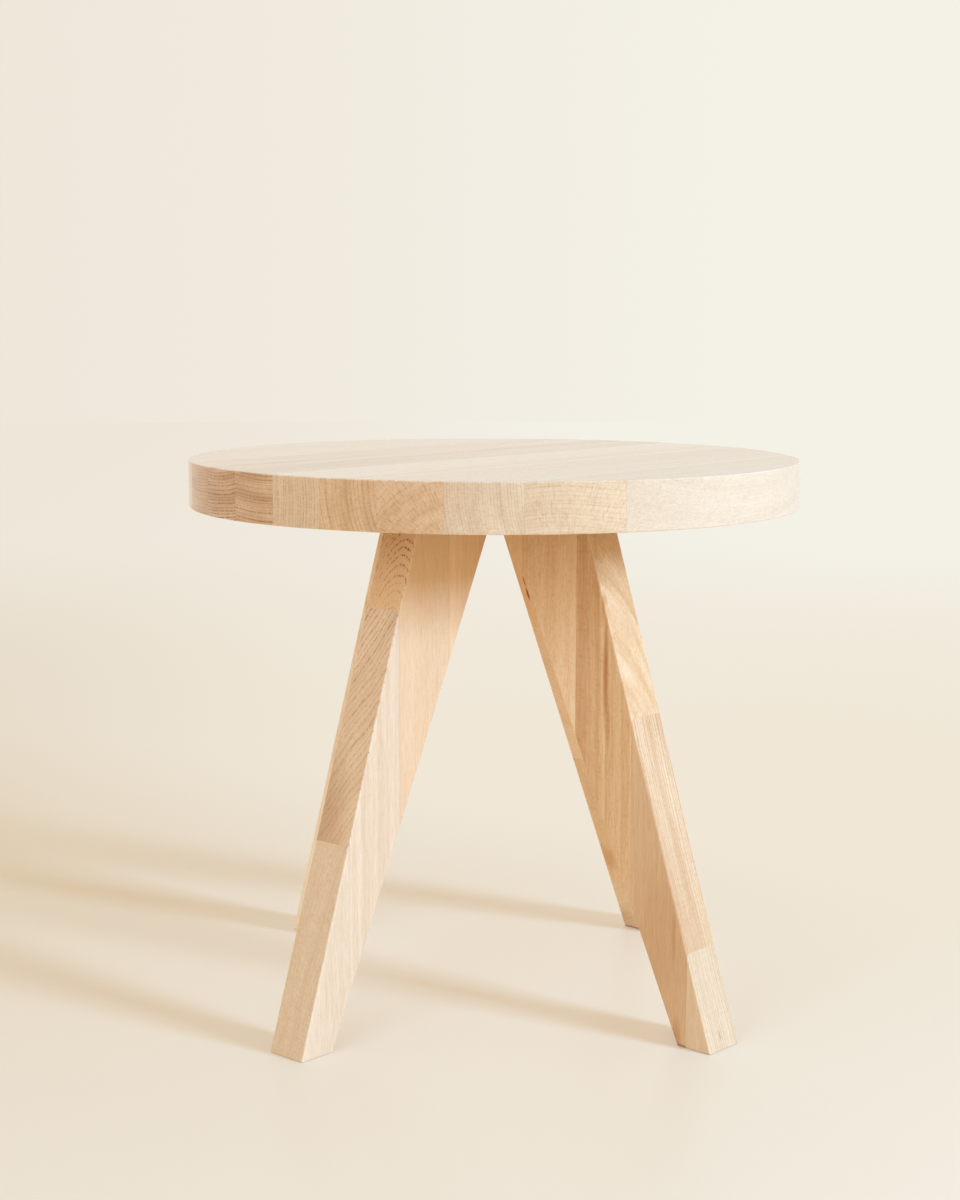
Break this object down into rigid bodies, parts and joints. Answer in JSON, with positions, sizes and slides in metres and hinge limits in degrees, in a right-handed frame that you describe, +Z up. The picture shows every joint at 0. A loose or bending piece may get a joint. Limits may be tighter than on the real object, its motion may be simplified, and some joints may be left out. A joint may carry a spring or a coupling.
{
  "type": "plant table",
  "caption": "Round solid beech plant table: an edge-glued top on splayed wedge-shaped plank legs.",
  "frame": {"origin": "on the floor, straight below the middle of the round top", "axes": "+Z up, -Y the front as pictured, +X to the right seen from the front"},
  "size_m": [0.5, 0.5, 0.45],
  "materials": {
    "beech_cream": "sanded and oiled, cream tone",
    "beech_blush": "sanded and oiled, blush tone",
    "beech_straw": "sanded and oiled, straw tone",
    "beech_tan": "sanded and oiled, tan tone",
    "beech_brown": "sanded and oiled, brown tone"
  },
  "bodies": {
    "root": {"top_stave_01": "beech_straw", "top_stave_02": "beech_blush", "top_stave_03": "beech_straw", "top_stave_04": "beech_tan", "top_stave_05": "beech_brown", "top_stave_06": "beech_brown", "top_stave_07": "beech_cream", "top_stave_08": "beech_tan", "top_stave_09": "beech_straw", "top_stave_10": "beech_blush", "top_stave_11": "beech_straw", "top_stave_12": "beech_cream", "front_left_leg_stave_1": "beech_straw", "front_left_leg_stave_2": "beech_straw", "front_left_leg_stave_3": "beech_cream", "front_left_leg_stave_4": "beech_blush", "front_right_leg_stave_1": "beech_straw", "front_right_leg_stave_2": "beech_straw", "front_right_leg_stave_3": "beech_tan", "front_right_leg_stave_4": "beech_blush", "front_right_leg_stave_5": "beech_straw", "rear_right_leg_stave_1": "beech_straw", "rear_right_leg_stave_2": "beech_cream", "rear_right_leg_stave_3": "beech_straw", "rear_right_leg_stave_4": "beech_blush", "rear_left_leg_stave_1": "beech_tan", "rear_left_leg_stave_2": "beech_straw", "rear_left_leg_stave_3": "beech_blush", "rear_left_leg_stave_4": "beech_cream", "front_left_inner_dowel": "beech_straw", "front_left_outer_dowel": "beech_straw", "front_right_inner_dowel": "beech_straw", "front_right_outer_dowel": "beech_straw", "rear_right_inner_dowel": "beech_straw", "rear_right_outer_dowel": "beech_straw", "rear_left_inner_dowel": "beech_straw", "rear_left_outer_dowel": "beech_straw"}
  },
  "joints": []
}
